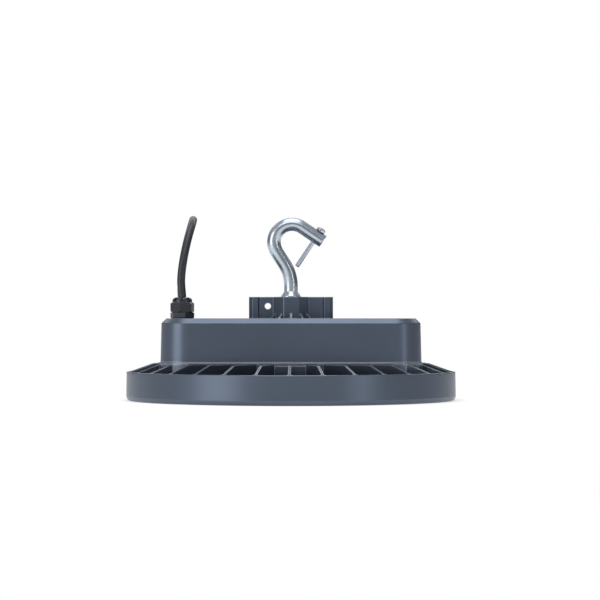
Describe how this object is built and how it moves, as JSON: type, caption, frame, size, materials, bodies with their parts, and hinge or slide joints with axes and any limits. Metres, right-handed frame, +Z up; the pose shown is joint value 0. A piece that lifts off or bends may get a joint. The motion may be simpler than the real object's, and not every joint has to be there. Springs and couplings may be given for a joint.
{
  "type": "high bay light",
  "caption": "Round high bay light: finned ring heat sink, driver housing with a cast boss, bent rod hook with a gate screw, and a supply cable from a gland.",
  "frame": {"origin": "centre of the heat sink's rim at its foot, where the light stands", "axes": "+Z up as the light hangs, along the hook's shank; -Y is the front; the cable gland is on the -X side"},
  "size_m": [0.29, 0.4015, 0.1646],
  "materials": {
    "grey_paint": "satin powder coat",
    "zinc_steel": "bright zinc plate",
    "screw_steel": "plain stainless",
    "black_nylon": "moulded, slight sheen",
    "black_rubber": "matt",
    "cable_jacket": "satin rubber jacket",
    "white_silicone": "matt",
    "core_brown": "soft PVC",
    "core_blue": "soft PVC",
    "core_earth": "green and yellow PVC",
    "driver_case": "drawn, satin",
    "white_board": "white solder mask",
    "led_phosphor": "yellow phosphor",
    "terminal_nylon": "moulded",
    "clear_lens": "clear polycarbonate"
  },
  "bodies": {
    "root": {"heat_sink": "grey_paint", "driver_housing": "grey_paint", "housing_gasket": "black_rubber", "hook": "zinc_steel", "hook_gate_screw": "zinc_steel", "hook_washer": "zinc_steel", "hook_nut": "zinc_steel", "gland_body": "black_nylon", "gland_cap": "black_nylon", "gland_seal": "black_rubber", "gland_o_ring": "black_rubber", "gland_locknut": "black_nylon", "cord_tube": "cable_jacket", "cord_coil": "cable_jacket", "core_brown": "core_brown", "core_blue": "core_blue", "core_earth": "core_earth", "cable_tail": "cable_jacket", "supply_cores": "core_brown", "driver_module": "driver_case", "terminal_block": "terminal_nylon", "led_lead": "core_blue", "wire_grommet": "black_rubber", "housing_screws": "screw_steel", "driver_screws": "screw_steel", "board_screws": "screw_steel", "lens_screws": "screw_steel", "led_board": "white_board", "led_chips": "led_phosphor", "lens_plate": "clear_lens", "lens_gasket": "white_silicone"}
  },
  "joints": []
}
